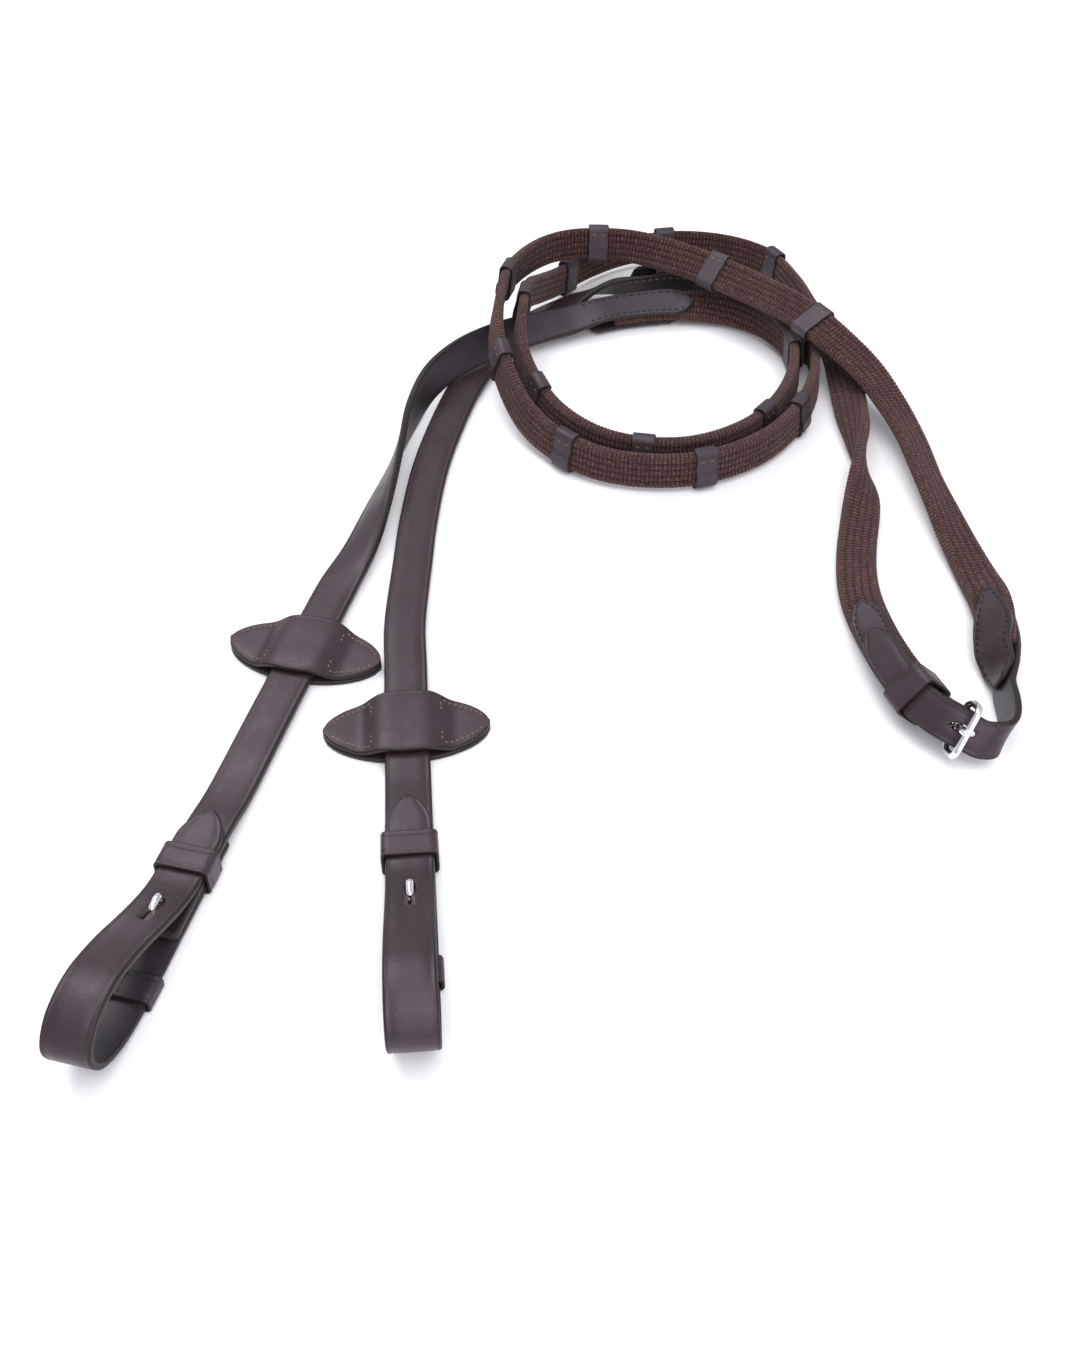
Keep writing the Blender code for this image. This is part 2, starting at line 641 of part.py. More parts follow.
def build_buckle(left):
    """The frame and its tongue round the bar at the left rein's end, their keeper and the point's hole."""
    bar = left.length
    centre, wide, normal = left.frame(bar)
    ahead = normal.cross(wide).normalized()

    def local(forward, side, off):
        return centre + ahead * forward + wide * side + normal * off

    def tilted(forward, side, off):
        """A place on the frame or the tongue, which stand up from the strap by the tilt."""
        turn = math.radians(FRAME_TILT)
        return local(
            forward * math.cos(turn) - off * math.sin(turn), side,
            forward * math.sin(turn) + off * math.cos(turn),
        )

    path = []
    outline = (
        (0, -FRAME_HALF, 180), (FRAME_REACH, -FRAME_HALF, 270), (FRAME_REACH, FRAME_HALF, 0),
        (0, FRAME_HALF, 90),
    )
    for forward, side, begin in outline:
        hub_forward = forward + (BUCKLE_CORNER if forward == 0 else -BUCKLE_CORNER)
        hub_side = side + (BUCKLE_CORNER if side < 0 else -BUCKLE_CORNER)
        for k in range(5):
            turn = math.radians(begin + 90 * k / 4)
            forward_of_bar = hub_forward + BUCKLE_CORNER * math.cos(turn)
            aside = hub_side + BUCKLE_CORNER * math.sin(turn)
            rise = FRAME_RISE * (max(0.0, forward_of_bar) / FRAME_REACH) ** 1.3
            path.append(tilted(forward_of_bar, aside, rise))
    rod("buckle_frame", "chrome", path, BAR_RADIUS, cyclic=True, origin=centre)

    ring = BAR_RADIUS + GAP + TONGUE_RADIUS
    tongue = []
    for degrees in range(-300, 40, 24):
        turn = math.radians(degrees)
        tongue.append(tilted(ring * math.cos(turn), 0, ring * math.sin(turn)))
    rest_height = FRAME_RISE + BAR_RADIUS + GAP + TONGUE_RADIUS
    pin = (
        (4.6, 3.4), (8, 5.8), (FRAME_REACH, rest_height), (FRAME_REACH + 2.6, rest_height - 0.3),
    )
    for forward, off in pin:
        tongue.append(tilted(forward, 0, off))
    rod("buckle_tongue", "chrome", tongue, TONGUE_RADIUS, origin=centre)

    leaf_top = WEB_THICK / 2 + GAP + END_THICK
    middle = bar - BUCKLE_KEEPER_BACK
    sleeve(
        "buckle_keeper", "leather", left,
        middle - BUCKLE_KEEPER_LENGTH / 2, middle + BUCKLE_KEEPER_LENGTH / 2, END_WIDTH / 2 + GAP,
        -leaf_top - GAP, leaf_top + GAP + POINT_THICK + GAP, KEEPER_THICK,
    )
    hole = block_cutter("point_hole", local(*POINT_HOLE_AT), ahead, wide, *POINT_HOLE)
    boolean(bpy.data.objects["right_point_strap"], hole)


def build_rein(side, path, keeper, wing_stop, splice_tip, first_stop, web_short):
    """One rein from its hook end to its web's end. It returns the band that the rest is laid along."""
    band = rolled_band(path)
    build_web(side, band, splice_tip, web_short)
    build_splice(side, band, splice_tip)
    build_hand_stops(side, band, first_stop)
    build_wing_stop(side, band, wing_stop)
    build_hook_end(side, band, keeper)
    return band


def build():
    right = build_rein(
        "right", RIGHT_PATH, RIGHT_KEEPER, RIGHT_WING_STOP, RIGHT_SPLICE_TIP, RIGHT_FIRST_STOP,
        RIGHT_WEB_SHORT,
    )
    left = build_rein(
        "left", LEFT_PATH, LEFT_KEEPER, LEFT_WING_STOP, LEFT_SPLICE_TIP, LEFT_FIRST_STOP, LEFT_WEB_SHORT,
    )
    build_left_chape(left)
    build_right_point(right, left)
    build_buckle(left)


for old in list(bpy.data.objects):
    bpy.data.objects.remove(old)
PARTS = bpy.data.collections.new("leather_reins")
CUTTERS = bpy.data.collections.new("cutters")
bpy.context.scene.collection.children.link(PARTS)
bpy.context.scene.collection.children.link(CUTTERS)
build()
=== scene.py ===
"""The looks of the web and leather reins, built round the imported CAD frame.

Every strap, web, keeper and stop is laid again along the centre line of its CAD node, with a rounded and
creased section, stitching, woven ribs and procedural materials. All lengths are in metres.
"""

import json
import math
import random

import bmesh
import bpy
import numpy as np
from mathutils import Matrix, Vector


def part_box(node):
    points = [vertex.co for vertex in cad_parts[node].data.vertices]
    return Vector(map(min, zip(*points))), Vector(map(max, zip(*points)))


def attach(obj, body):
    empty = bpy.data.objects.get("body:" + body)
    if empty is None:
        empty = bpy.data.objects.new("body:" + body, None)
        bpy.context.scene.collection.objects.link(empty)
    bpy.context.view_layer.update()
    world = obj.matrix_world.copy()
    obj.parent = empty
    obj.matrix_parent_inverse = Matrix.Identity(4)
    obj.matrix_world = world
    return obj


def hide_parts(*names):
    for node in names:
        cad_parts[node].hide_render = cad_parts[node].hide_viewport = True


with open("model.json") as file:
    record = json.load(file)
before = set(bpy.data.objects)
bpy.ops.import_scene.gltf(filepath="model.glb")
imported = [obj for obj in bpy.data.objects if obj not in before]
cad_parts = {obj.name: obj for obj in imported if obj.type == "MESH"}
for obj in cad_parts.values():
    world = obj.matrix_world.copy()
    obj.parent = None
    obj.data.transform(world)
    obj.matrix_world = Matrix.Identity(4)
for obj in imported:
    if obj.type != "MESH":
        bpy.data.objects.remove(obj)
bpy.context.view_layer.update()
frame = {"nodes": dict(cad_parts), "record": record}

MM = 0.001
UP = np.array([0.0, 0.0, 1.0])

# Sampling along the strips.
STRAP_STEP = 1.6 * MM
BUCKLE_END_STEP = 1.2 * MM
WING_STEP = 0.6 * MM
LEAST_HALF = 0.2 * MM

# The web: ribs across it, and cords along it on each face.
RIB_PITCH = 1.8 * MM
ROWS_PER_RIB = 4
CORDS = 5
CORD_BAND = 1.84
GROOVE_DEPTH = 0.55 * MM
RIB_DEPTH = 0.42 * MM
WEB_CROWN = 0.2 * MM
SELVEDGE_NOTCH = 0.3 * MM

# Leather edges and ends.
EDGE_RADIUS = 0.85 * MM
CREASE_INSET = 1.7 * MM
CREASE_HALF = 0.45 * MM
CREASE_DEPTH = 0.16 * MM
SKIVE_LENGTH = 1.2 * MM
SKIVE_SHARE = 0.45

# Stitches: each inset is from the edge of the leather to the row. The seams of the splice and of the
# chape's upper leaf are measured back from the far end.
STITCH_PITCH = 3.1 * MM
STITCH_LIFT = 0.02 * MM
SPLICE_INSET = 2.2 * MM
CHAPE_INSET = 1.9 * MM
POINT_INSET = 1.7 * MM
WING_INSET = 2.7 * MM
WING_PITCH = 2.1 * MM
END_MARGIN = 3 * MM
SPLICE_SEAM = (54 * MM, 5 * MM)
CHAPE_UNDER_SEAM = (3 * MM, 44 * MM)
CHAPE_OVER_SEAM = (52 * MM, 4 * MM)

# Keepers, hand stops and martingale stops.
KEEPER_THICK = 1.2 * MM
KEEPER_CORNER = 1.5 * MM
RING_SAMPLES = 56
STOP_THICK = 0.5 * MM
STOP_HALF = 4.9 * MM
STOP_CLEAR = 0.75 * MM
STOP_LAP = 5.0 * MM
STOP_CORNER = 1.9 * MM
STOP_SAMPLES = 64
STOPS_PER_REIN = 9
SADDLE_HALF = 12.5 * MM
LOWER_KEEPER_RUN = (5 * MM, 75 * MM)

# Metal, and the holes it passes through.
HOOK_PLATE = 3.6 * MM
HOOK_PLATE_THICK = 0.9 * MM
HOOK_WIRE = 1.25 * MM
HOOK_HOLE = (3.1 * MM, 5.4 * MM, 24 * MM)
HOOK_SLIT = (1.1 * MM, 9.0 * MM, 24 * MM)
POINT_HOLE = (9.6 * MM, 3.6 * MM, 8 * MM)
FOLD_SLOT = (12.4 * MM, 3.6 * MM, 10 * MM)
METAL_LEVELS = 2

# Material slots of a leather piece.
TOP_SIDE, UNDER_SIDE, EDGE_SIDE, CUT_SIDE = range(4)

CAMERA_PLACE = (-0.02067, -0.4701, 0.3853)
CAMERA_LENS = 39.35
CAMERA_DOWN = 44
FLOOR_HALF = 6
FLOOR_DROP = 0.15 * MM

BODY_OF = {}
for body, members in frame["record"]["behaviour"]["bodies"].items():
    for member in members:
        BODY_OF[member] = body
rng = random.Random(7)


# ---------------------------------------------------------------- reading the frame

def unit(v):
    return v / np.maximum(np.linalg.norm(v, axis=-1, keepdims=True), 1e-12)


def welded(node):
    work = bmesh.new()
    work.from_mesh(frame["nodes"][node].data)
    bmesh.ops.remove_doubles(work, verts=work.verts[:], dist=1e-6)
    work.normal_update()
    return work


def widest_patch(work, fold):
    """The largest group of faces that meet at less than the fold angle: one whole face of a strip."""
    seen = set()
    best = []
    for face in work.faces:
        if face in seen:
            continue
        seen.add(face)
        group = [face]
        for member in group:
            for edge in member.edges:
                if edge.calc_face_angle() < fold:
                    for other in edge.link_faces:
                        if other not in seen:
                            seen.add(other)
                            group.append(other)
        if sum(f.calc_area() for f in group) > sum(f.calc_area() for f in best):
            best = group
    return best


def outline_of(patch):
    """The patch's longest boundary, in order. Slots have boundaries of their own."""
    inside = set(patch)
    following = {}
    for face in patch:
        for loop in face.loops:
            if loop.link_loop_radial_next.face not in inside:
                following[loop.vert] = loop.link_loop_next.vert
    best = []
    while following:
        start = next(iter(following))
        path = [start]
        step = following.pop(start)
        while step in following:
            path.append(step)
            step = following.pop(step)
        best = max(best, path, key=len)
    return best


class Strip:
    """A flat piece: centre, width direction, face normal, half width and half thickness along its length."""

    def __init__(self, centre, across, normal, half, thick):
        self.centre = centre
        self.across = unit(across)
        self.normal = unit(normal)
        self.half = half
        self.thick = thick
        self.along = np.concatenate([[0], np.cumsum(np.linalg.norm(np.diff(centre, axis=0), axis=1))])
        self.length = self.along[-1]

    def turned(self):
        """The same strip with its other face out."""
        return Strip(self.centre, -self.across, -self.normal, self.half, self.thick)

    def reversed(self):
        parts = (self.centre, -self.across, self.normal, self.half, self.thick)
        return Strip(*(part[::-1] for part in parts))

    def at(self, along):
        """The strip sampled anew at these distances, by cubic interpolation."""
        def cubic(values):
            slopes = np.gradient(values, self.along, axis=0)
            i = np.clip(np.searchsorted(self.along, along) - 1, 0, len(self.along) - 2)
            gap = self.along[i + 1] - self.along[i]
            u = np.clip((along - self.along[i]) / gap, 0, 1)
            if values.ndim == 2:
                u = u[:, None]
                gap = gap[:, None]
            return (
                (1 + 2 * u) * (1 - u) ** 2 * values[i] + u * (1 - u) ** 2 * gap * slopes[i]
                + u * u * (3 - 2 * u) * values[i + 1] + u * u * (u - 1) * gap * slopes[i + 1]
            )
        return Strip(
            cubic(self.centre), cubic(self.across), cubic(self.normal),
            np.maximum(cubic(self.half), LEAST_HALF), cubic(self.thick),
        )

    def resampled(self, step, start=0.0, end=None):
        end = self.length if end is None else end
        count = max(2, int(round((end - start) / step)) + 1)
        return self.at(np.linspace(start, end, count))

    def nearest(self, place):
        return int(np.argmin(np.linalg.norm(self.centre - place, axis=1)))


def read_strip(node, fold=60):
    """The strip that a CAD node of that shape holds. Which face is which is settled afterwards."""
    work = welded(node)
    patch = widest_patch(work, math.radians(fold))
    face_verts = {v for f in patch for v in f.verts}
    outline = outline_of(patch)
    count = len(outline)
    points = np.array([v.co for v in outline])
    index = np.arange(count)
    spans = [np.linalg.norm(points - points[(turn - index) % count], axis=1).sum() for turn in range(count)]
    turn = int(np.argmin(spans))
    first = turn // 2 + 1
    rows = count // 2 - (turn % 2 == 0)

    def below(vert):
        others = [e.other_vert(vert) for e in vert.link_edges if e.other_vert(vert) not in face_verts]
        return min(others, key=lambda other: (other.co - vert.co).length)

    sides = [[outline[(first + k) % count] for k in range(rows)]]
    sides.append([outline[(turn - first - k) % count] for k in range(rows)])
    tops = [np.array([v.co for v in side]) for side in sides]
    bottoms = [np.array([below(v).co for v in side]) for side in sides]
    work.free()
    across = (tops[0] + bottoms[0] - tops[1] - bottoms[1]) / 2
    normal = (tops[0] + tops[1] - bottoms[0] - bottoms[1]) / 2
    centre = (tops[0] + tops[1] + bottoms[0] + bottoms[1]) / 4
    half = np.linalg.norm(across, axis=1) / 2
    thick = np.linalg.norm(normal, axis=1) / 2
    return Strip(centre, across, normal, half, thick)


def facing(strip, towards, part=0.0):
    """The strip with its grain face towards a direction, judged at a share of its length."""
    row = int(part * (len(strip.centre) - 1))
    return strip if strip.normal[row] @ towards > 0 else strip.turned()


def facing_out(strip):
    """The strip with its grain face on the outside of the loop it makes."""
    middle = strip.centre.mean(axis=0)
    outward = ((strip.centre - middle) * strip.normal).sum()
    return strip if outward > 0 else strip.turned()


def starting_at(strip, place):
    first = np.linalg.norm(strip.centre[0] - place)
    last = np.linalg.norm(strip.centre[-1] - place)
    return strip if first <= last else strip.reversed()


def box_middle(node):
    low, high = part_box(node)
    return np.array((low + high) / 2)


# ---------------------------------------------------------------- materials

class Nodes:
    """A short way to write a node tree."""

    def __init__(self, name):
        self.material = bpy.data.materials.new(name)
        self.material.use_nodes = True
        self.tree = self.material.node_tree
        self.shader = self.tree.nodes["Principled BSDF"]

    def add(self, kind, **inputs):
        node = self.tree.nodes.new(kind)
        for name, value in inputs.items():
            self.set(node, name, value)
        return node

    def set(self, node, key, value):
        """Links or sets an input, given by its name or its number."""
        socket = node.inputs[key]
        if isinstance(value, bpy.types.NodeSocket):
            self.tree.links.new(value, socket)
        else:
            socket.default_value = value

    def noise(self, vector, scale, detail=4.0, roughness=0.6):
        node = self.add("ShaderNodeTexNoise", Vector=vector, Scale=scale, Detail=detail, Roughness=roughness)
        return node.outputs["Fac"]

    def voronoi(self, vector, scale):
        return self.add("ShaderNodeTexVoronoi", Vector=vector, Scale=scale).outputs["Distance"]

    def math(self, operation, a, b=0.0):
        node = self.tree.nodes.new("ShaderNodeMath")
        node.operation = operation
        self.set(node, 0, a)
        self.set(node, 1, b)
        return node.outputs[0]

    def remap(self, value, low, high, to_low, to_high):
        node = self.tree.nodes.new("ShaderNodeMapRange")
        for name, number in (
            ("Value", value), ("From Min", low), ("From Max", high), ("To Min", to_low), ("To Max", to_high),
        ):
            self.set(node, name, number)
        return node.outputs["Result"]

    def blend(self, value, a, b):
        """A mix of two colours, each a socket or three channels."""
        node = self.tree.nodes.new("ShaderNodeMix")
        node.data_type = "RGBA"
        self.tree.links.new(value, node.inputs["Factor"])
        for key, colour in (("A", a), ("B", b)):
            self.set(node, key, colour if isinstance(colour, bpy.types.NodeSocket) else (*colour, 1))
        return node.outputs["Result"]

    def bump(self, height, distance, strength, normal=None):
        node = self.add("ShaderNodeBump", Strength=strength, Distance=distance, Height=height)
        if normal is not None:
            self.set(node, "Normal", normal)
        return node.outputs["Normal"]

    def finish(self, **inputs):
        """Sets the shader's inputs. An underscore in a name stands for a space."""
        for name, value in inputs.items():
            self.set(self.shader, name.replace("_", " "), value)
        return self.material


def place_of(nodes):
    return nodes.add("ShaderNodeTexCoord").outputs["Object"]


def wear_of(nodes):
    """Light where a convex edge has been rubbed, from the geometry's pointiness."""
    pointiness = nodes.add("ShaderNodeNewGeometry").outputs["Pointiness"]
    return nodes.remap(pointiness, 0.52, 0.60, 0.0, 1.0)


def mottle_of(nodes, place, scale, detail=3.0):
    """Slow variation, from 0 to 1."""
    return nodes.remap(nodes.noise(place, scale, detail), 0.3, 0.7, 0.0, 1.0)


def leather_material(name, dark, light, roughness, grain=1.0):
    """Fine-grained bridle leather: pores, faint mottling, smooth sheen and rubbed edges."""
    nodes = Nodes(name)
    place = place_of(nodes)
    fine = nodes.noise(place, 900.0, 3.0)
    colour = nodes.blend(mottle_of(nodes, place, 55.0), dark, light)
    worn = tuple(min(1.0, channel * 1.9 + 0.012) for channel in light)
    colour = nodes.blend(nodes.math("MULTIPLY", wear_of(nodes), 0.55), colour, worn)
    colour = nodes.blend(nodes.remap(fine, 0.35, 0.65, 0.0, 0.25), colour, tuple(c * 0.6 for c in dark))
    pebble = nodes.voronoi(place, 1500.0)
    creases = nodes.noise(place, 260.0, 5.0, 0.7)
    normal = nodes.bump(pebble, 0.00012 * grain, 0.35)
    normal = nodes.bump(creases, 0.00035 * grain, 0.25, normal)
    rough = nodes.remap(nodes.noise(place, 120.0, 4.0), 0.3, 0.7, roughness - 0.05, roughness + 0.08)
    return nodes.finish(
        Base_Color=colour, Roughness=rough, Normal=normal, Specular_IOR_Level=0.42,
        Specular_Tint=(0.97, 0.88, 1.0, 1), Coat_Weight=0.04, Coat_Roughness=0.3,
    )


def flesh_material():
    """The underside: dyed nearly black and pressed smooth, with short brushed fibres."""
    nodes = Nodes("leather_flesh")
    place = place_of(nodes)
    fibres = nodes.noise(place, 700.0, 6.0, 0.75)
    colour = nodes.blend(mottle_of(nodes, place, 70.0), (0.0105, 0.008, 0.0105), (0.021, 0.0165, 0.021))
    colour = nodes.blend(nodes.remap(fibres, 0.5, 0.75, 0.0, 0.35), colour, (0.045, 0.038, 0.045))
    normal = nodes.bump(fibres, 0.0003, 0.5)
    return nodes.finish(
        Base_Color=colour, Roughness=0.45, Normal=normal, Specular_IOR_Level=0.62,
        Specular_Tint=(0.98, 0.92, 1.0, 1),
    )


def edge_material():
    """Burnished strap edges: darker, with faint fibres."""
    nodes = Nodes("leather_edge")
    place = place_of(nodes)
    fibres = nodes.noise(place, 500.0, 5.0, 0.7)
    colour = nodes.blend(fibres, (0.007, 0.005, 0.006), (0.026, 0.016, 0.017))
    normal = nodes.bump(fibres, 0.0003, 0.4)
    return nodes.finish(Base_Color=colour, Roughness=0.5, Normal=normal, Specular_IOR_Level=0.3)


def web_material():
    """Brown cotton web: painted shade in the gaps between cords and ribs, yarn bump, and a dusty sheen."""
    nodes = Nodes("web_cotton")
    place = place_of(nodes)
    uv = nodes.add("ShaderNodeUVMap").outputs["UV"]
    parts = nodes.add("ShaderNodeSeparateXYZ", Vector=uv)
    twist = nodes.math("ADD", nodes.math("MULTIPLY", parts.outputs["Y"], 0.6), parts.outputs["X"])
    ribs = nodes.math("SINE", nodes.math("MULTIPLY", twist, 2 * math.pi / (RIB_PITCH * 0.25)))
    yarn = nodes.noise(place, 1100.0, 5.0, 0.7)
    colour = nodes.blend(mottle_of(nodes, place, 90.0, 4.0), (0.041, 0.017, 0.0155), (0.068, 0.030, 0.027))
    colour = nodes.blend(nodes.remap(yarn, 0.50, 0.68, 0.0, 0.95), colour, (0.215, 0.112, 0.092))
    # Painted shade: the colour is darkened nearly to black in the grooves between cords and in the gaps
    # between ribs, by a per-point share that the web's mesh carries.
    painted_groove_shade = nodes.add("ShaderNodeAttribute")
    painted_groove_shade.attribute_name = "painted_groove_shade"
    sunk = nodes.math("MULTIPLY", painted_groove_shade.outputs["Fac"], 0.93)
    colour = nodes.blend(sunk, colour, (0.007, 0.0028, 0.0026))
    normal = nodes.bump(yarn, 0.0006, 0.7)
    normal = nodes.bump(ribs, 0.00008, 0.6, normal)
    return nodes.finish(
        Base_Color=colour, Roughness=0.9, Normal=normal, Sheen_Weight=0.22, Sheen_Roughness=0.45,
        Sheen_Tint=(0.75, 0.60, 0.60, 1), Specular_IOR_Level=0.2,
    )


def thread_material(name, colour):
    nodes = Nodes(name)
    place = place_of(nodes)
    twist = nodes.noise(place, 1600.0, 3.0)
    mixed = nodes.blend(twist, tuple(c * 0.55 for c in colour), colour)
    return nodes.finish(Base_Color=mixed, Roughness=0.7, Normal=nodes.bump(twist, 0.0003, 0.6))


def chrome_material():
    nodes = Nodes("polished_chrome")
    place = place_of(nodes)
    smear = nodes.noise(place, 180.0, 4.0)
    scratch = nodes.noise(place, 1400.0, 2.0)
    rough = nodes.remap(smear, 0.3, 0.7, 0.07, 0.17)
    return nodes.finish(
        Base_Color=(0.83, 0.83, 0.84, 1), Metallic=1.0, Roughness=rough,
        Normal=nodes.bump(scratch, 0.00004, 0.2),
    )


GRAIN = leather_material("leather_grain", (0.0215, 0.0122, 0.0150), (0.034, 0.0205, 0.0255), 0.40)
STOP = leather_material("leather_stop", (0.028, 0.0195, 0.023), (0.047, 0.035, 0.041), 0.50, 1.4)
FLESH = flesh_material()
EDGE = edge_material()
WEB = web_material()
TAN_THREAD = thread_material("thread_tan", (0.22, 0.122, 0.082))
BLACK_THREAD = thread_material("thread_black", (0.006, 0.004, 0.005))
CHROME = chrome_material()
RAW = leather_material("leather_raw", (0.05, 0.016, 0.010), (0.11, 0.038, 0.024), 0.7)
LEATHER_SET = (GRAIN, FLESH, EDGE)
STOP_SET = (STOP, STOP, EDGE)


# ---------------------------------------------------------------- building

def register(obj, node, stands_for=True):
    """Makes a finished object a piece of the CAD body that its node is on."""
    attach(obj, BODY_OF[node])
    if stands_for:
        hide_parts(node)


def link(name, mesh, materials):
    for material in materials:
        mesh.materials.append(material)
    obj = bpy.data.objects.new(name, mesh)
    bpy.context.scene.collection.objects.link(obj)
    return obj


def leather_section(half, thick, crease=1.0):
    """A closed outline (across, off the face) with rounded edges and a creased line inside each one.

    It returns the outline and, for each of its sides, which material that side takes. Narrow tips have
    their creases scaled down with them.
    """
    radius = min(0.75 * thick, EDGE_RADIUS, half * 0.8)
    flat = half - radius
    scale = min(1.0, half / (5 * MM))
    line = half - CREASE_INSET * scale
    width = CREASE_HALF * scale
    depth = CREASE_DEPTH * crease * scale
    right = [(flat, 0), (line + width, 0), (line, -depth), (line - width, 0), (0.33 * half, 0)]
    top = [(-x, z) for x, z in right] + [(x, z) for x, z in reversed(right)]
    arc = []
    for turn in (math.radians(a) for a in (60, 30, 0, -30, -60)):
        hub = (thick - radius) * (1 if turn >= 0 else -1)
        arc.append((flat + radius * math.cos(turn), hub + radius * math.sin(turn)))
    bottom = [flat, 0.5 * half, 0, -0.5 * half, -flat]
    points = [(x, thick + z) for x, z in top]
    points += arc
    points += [(x, -thick) for x in bottom]
    points += [(-x, z) for x, z in reversed(arc)]
    slots = [TOP_SIDE] * (len(top) - 1)
    slots += [EDGE_SIDE] * (len(arc) + 1)
    slots += [UNDER_SIDE] * (len(bottom) - 1)
    slots += [EDGE_SIDE] * (len(arc) + 1)
    return np.array(points), slots


def loft(name, strip, sections, slots, materials, closed=False, painted_groove_shade=None):
    """A mesh whose rows are the sections laid at the strip's samples. An open one has a cap at each end."""
    rows, size = sections.shape[:2]
    places = (
        strip.centre[:, None] + strip.across[:, None] * sections[:, :, :1]
        + strip.normal[:, None] * sections[:, :, 1:]
    ).reshape(-1, 3)
    index = np.arange(rows * size).reshape(rows, size)
    following = np.roll(index, -1, axis=0) if closed else index[1:]
    current = index if closed else index[:-1]
    quads = np.stack(
        [current, np.roll(current, -1, axis=1), np.roll(following, -1, axis=1), following], axis=-1,
    ).reshape(-1, 4)
    faces = quads.tolist()
    if not closed:
        faces += [index[0][::-1].tolist(), index[-1].tolist()]
    mesh = bpy.data.meshes.new(name)
    mesh.from_pydata(places.tolist(), [], faces)
    chosen = np.tile(slots, len(current)).tolist() + ([] if closed else [EDGE_SIDE, EDGE_SIDE])
    if len(materials) > 1:
        mesh.polygons.foreach_set("material_index", chosen)
    mesh.polygons.foreach_set("use_smooth", [True] * len(faces))
    layer = mesh.uv_layers.new(name="UVMap")
    around = np.concatenate([[0], np.cumsum(np.linalg.norm(np.diff(sections[rows // 2], axis=0), axis=1))])
    loops = np.empty(len(mesh.loops), np.int64)
    mesh.loops.foreach_get("vertex_index", loops)
    uv = np.stack([strip.along[loops // size], around[loops % size]], axis=-1)
    layer.data.foreach_set("uv", uv.ravel())
    # The web's per-point share of painted shade in its grooves and rib gaps, read by its material.
    if painted_groove_shade is not None:
        attribute = mesh.attributes.new("painted_groove_shade", "FLOAT", "POINT")
        attribute.data.foreach_set("value", painted_groove_shade.ravel())
    mesh.validate()
    mesh.update()
    obj = link(name, mesh, materials)
    fix_normals(obj)
    return obj


def fix_normals(obj):
    work = bmesh.new()
    work.from_mesh(obj.data)
    bmesh.ops.recalc_face_normals(work, faces=work.faces[:])
    if work.calc_volume(signed=True) < 0:
        bmesh.ops.reverse_faces(work, faces=work.faces[:])
    work.to_mesh(obj.data)
    work.free()


def leather(name, strip, materials=LEATHER_SET, crease=1.0, closed=False, skive=True):
    """A leather piece on a resampled strip. Its ends are thinned so that they don't look cut with a saw."""
    outlines = []
    for i, (half, thick) in enumerate(zip(strip.half, strip.thick)):
        inside = 1.0
        if skive and not closed:
            from_end = min(strip.along[i], strip.length - strip.along[i])
            inside = 1 - SKIVE_SHARE * max(0.0, 1 - from_end / SKIVE_LENGTH) ** 2
        points, slots = leather_section(half * (0.5 + 0.5 * inside), thick * inside, crease)
        outlines.append(points)
    return loft(name, strip, np.array(outlines), slots, materials, closed)


def web_outline():
    """The web's section as shares of its half width and half thickness, with how much each point is sunk.

    The last column is 1 in the groove between two cords and 0 on top of one.
    """
    share = CORD_BAND / CORDS
    top = []
    for cord in range(CORDS):
        left = -CORD_BAND / 2 + share * cord
        if cord:
            top.append((left, 1.0, 1.0))
        top.append((left + 0.26 * share, 1.0, 0.0))
        top.append((left + 0.74 * share, 1.0, 0.0))
    side = [(0.985, 0.72, 0.1), (1.0, 0.26, 0.0)]
    half = top[::-1] + [(-x, z, g) for x, z, g in side]
    return np.array(half + [(-x, -z, g) for x, z, g in half])


def web(name, strip):
    """Tubular ribbed web: lengthwise cords crossed by ribs on both faces, and rounded selvedges."""
    outline = web_outline()
    x, z, groove = outline.T
    rows = len(strip.along)
    gap = (np.arange(rows) % ROWS_PER_RIB == ROWS_PER_RIB // 2)[:, None]
    uneven = np.array([rng.uniform(0.75, 1.15) for _ in range(rows)])[:, None]
    sink = GROOVE_DEPTH * groove[None] + RIB_DEPTH * gap * uneven * (1 - 0.6 * groove[None])
    thick = strip.thick[:, None] + WEB_CROWN
    selvedge = np.abs(x)[None] > 0.95
    wide = strip.half[:, None] - SELVEDGE_NOTCH * gap * uneven * selvedge
    sections = np.stack([x[None] * wide, z[None] * (thick - sink)], axis=-1)
    # The share of painted shade at each point: full in the rib gaps, most of it in the grooves between cords.
    painted_groove_shade = np.clip(0.8 * groove[None] + gap, 0, 1)
    return loft(name, strip, sections, [TOP_SIDE] * len(x), (WEB,), painted_groove_shade=painted_groove_shade)


def stitches(name, rows, thread, length=2.1 * MM, width=0.42 * MM, slant=0.0):
    """Short sunk stitches, one for each (place, direction, normal)."""
    work = bmesh.new()
    for place, direction, normal in rows:
        direction = unit(direction)
        normal = unit(normal)
        side = np.cross(normal, direction)
        direction = unit(direction + side * (slant + rng.uniform(-0.06, 0.06)))
        side = np.cross(normal, direction)
        scaled = np.stack([direction * length / 2, side * width, normal * width * 0.8], axis=1)
        matrix = Matrix(scaled.tolist()).to_4x4()
        matrix.translation = Vector(place)
        bmesh.ops.create_uvsphere(work, u_segments=8, v_segments=6, radius=1, matrix=matrix)
    for face in work.faces:
        face.smooth = True
    mesh = bpy.data.meshes.new(name)
    work.to_mesh(mesh)
    work.free()
    return link(name, mesh, (thread,))


